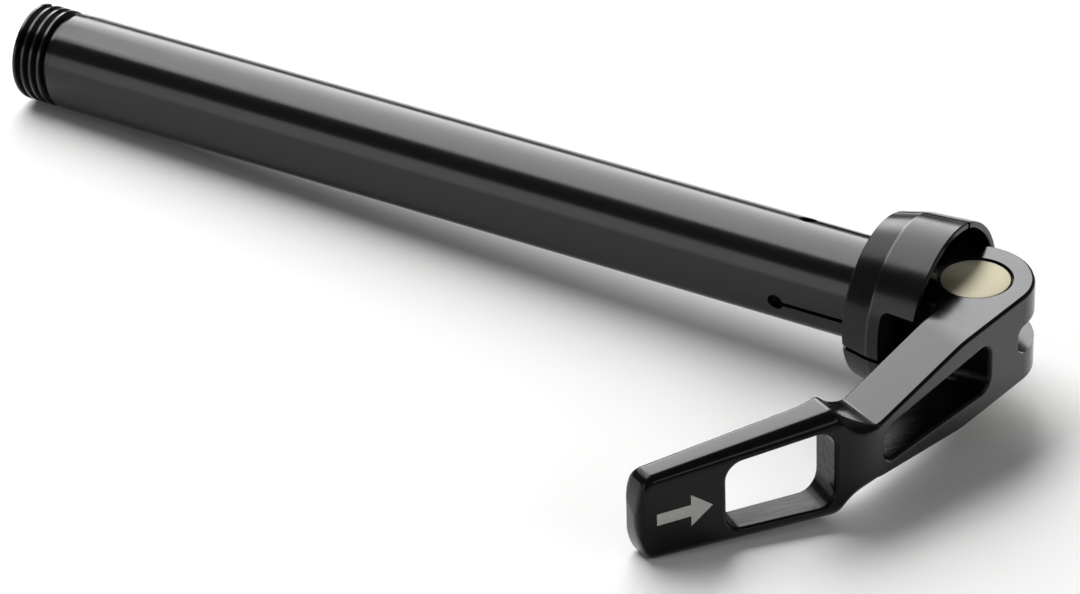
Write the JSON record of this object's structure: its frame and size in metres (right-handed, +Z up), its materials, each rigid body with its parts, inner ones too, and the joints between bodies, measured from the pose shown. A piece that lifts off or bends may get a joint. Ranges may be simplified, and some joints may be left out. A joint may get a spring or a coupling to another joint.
{
  "type": "bicycle thru axle",
  "caption": "Front wheel thru axle for a fork: hollow tube with a threaded end, slit cup head with an internal expander, and a forked cam lever that swivels and swings open.",
  "frame": {"origin": "on the axle's axis, in the plane of the head's flat face that seats on the fork leg", "axes": "+X along the axle from the thread towards the lever, +Z up along the lever's pivot pin, closed lever towards -Y"},
  "size_m": [0.1711, 0.0789, 0.0268],
  "materials": {
    "anodised_black": "satin black anodised",
    "polished_black": "glossy black anodised over polished forging",
    "champagne_anodised": "champagne anodised, fine turned",
    "black_polymer": "matte black acetal",
    "bolt_steel": "plain steel",
    "spring_steel": "drawn spring wire",
    "turned_aluminium": "fine turned"
  },
  "bodies": {
    "axle": {"axle": "anodised_black"},
    "seat": {"cam_seat": "black_polymer", "release_spring": "spring_steel"},
    "draw": {"pivot_pin": "champagne_anodised"},
    "lever": {"lever": "polished_black"},
    "wedge": {"expander_wedge": "turned_aluminium"},
    "bolt": {"draw_bolt": "bolt_steel"}
  },
  "joints": [
    {"name": "lever_swivel", "type": "hinge", "parent": "axle", "child": "seat", "pos_m": [0.006, 0, 0], "axis": [1, 0, 0], "continuous": true},
    {"name": "draw_slide", "type": "slide", "parent": "seat", "child": "draw", "axis": [-1, 0, 0], "range_m": [0, 0.0012]},
    {"name": "lever_pivot", "type": "hinge", "parent": "draw", "child": "lever", "pos_m": [0.01477, 0, 0], "axis": [0, 0, 1], "range_deg": [0, 144]},
    {"name": "adjust_advance", "type": "slide", "parent": "draw", "child": "wedge", "axis": [-1, 0, 0], "range_m": [0, 0.0014]},
    {"name": "adjust_turn", "type": "hinge", "parent": "wedge", "child": "bolt", "pos_m": [-0.018, 0, 0], "axis": [1, 0, 0], "range_deg": [0, 720]}
  ],
  "couplings": [
    {"joint": "draw_slide", "follows": "lever_pivot", "m_per_rad": 0.00047746},
    {"joint": "adjust_turn", "follows": "adjust_advance", "rad_per_m": 8975}
  ]
}
